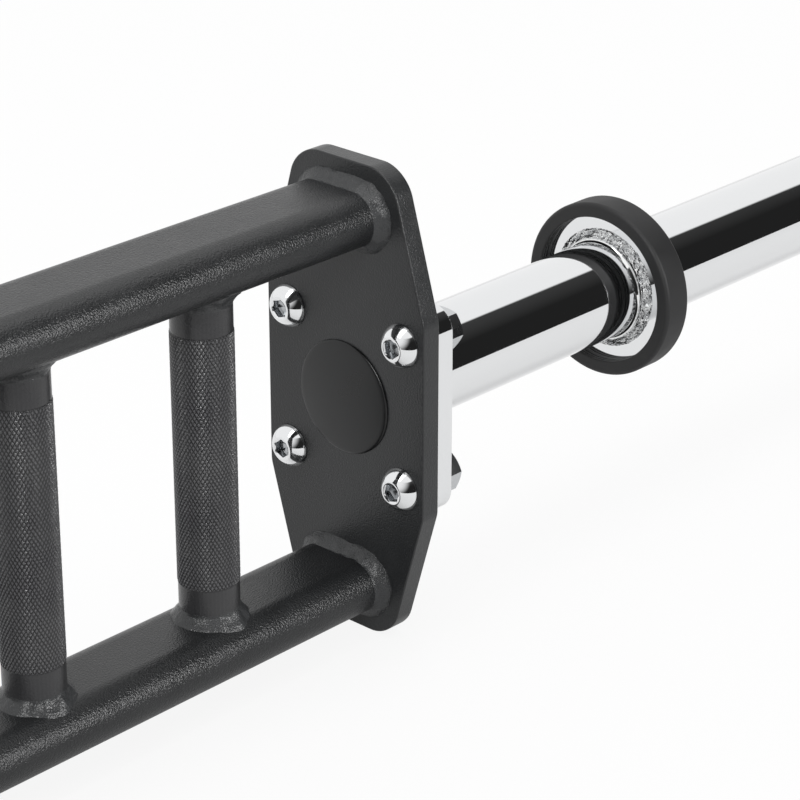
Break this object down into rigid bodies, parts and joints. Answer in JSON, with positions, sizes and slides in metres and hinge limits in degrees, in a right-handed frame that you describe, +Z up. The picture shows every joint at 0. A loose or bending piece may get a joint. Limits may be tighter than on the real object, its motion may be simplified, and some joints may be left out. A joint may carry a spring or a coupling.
{
  "type": "swiss bar",
  "caption": "Multi-grip barbell: a black ladder frame with upright knurled grips between tapered end plates, with bolted chrome sleeves and rubber-rimmed stop rings.",
  "frame": {"origin": "middle of the bar, on the floor line under the end plates (Z = 0 is the end plates' bottom edges, X = 0 midway between them, Y = 0 on the sleeves' axis plane)", "axes": "+X along the bar and its sleeves, +Y across the bar, +Z up along the grips"},
  "size_m": [2.107, 0.0992, 0.233],
  "materials": {
    "painted": "fine-textured black powder coat",
    "painted_weld": "black powder coat over a weld bead",
    "chrome": "bright chrome plate",
    "chrome_weld": "chrome plate over a rough weld bead",
    "rubber": "matte black rubber",
    "plastic": "smooth semi-gloss black plastic"
  },
  "bodies": {
    "root": {"rail_top": "painted", "rail_bottom": "painted", "handle_1": "painted", "handle_2": "painted", "handle_3": "painted", "handle_4": "painted", "handle_5": "painted", "handle_6": "painted", "handle_7": "painted", "handle_8": "painted", "handle_welds_top": "painted_weld", "handle_welds_bottom": "painted_weld", "end_plate_left": "painted", "end_plate_right": "painted", "rail_welds_left": "painted_weld", "rail_welds_right": "painted_weld", "centre_cap_left": "plastic", "centre_cap_right": "plastic", "flange_bolts_left": "chrome", "flange_bolts_right": "chrome", "flange_nuts_left": "chrome", "flange_nuts_right": "chrome", "flange_left": "chrome", "flange_right": "chrome", "flange_weld_left": "chrome_weld", "flange_weld_right": "chrome_weld", "sleeve_tube_left": "chrome", "sleeve_tube_right": "chrome", "stop_disc_left": "chrome", "stop_disc_right": "chrome", "stop_weld_inner_left": "chrome_weld", "stop_weld_inner_right": "chrome_weld", "stop_weld_outer_left": "chrome_weld", "stop_weld_outer_right": "chrome_weld", "stop_rubber_left": "rubber", "stop_rubber_right": "rubber", "sleeve_plug_left": "plastic", "sleeve_plug_right": "plastic"}
  },
  "joints": []
}
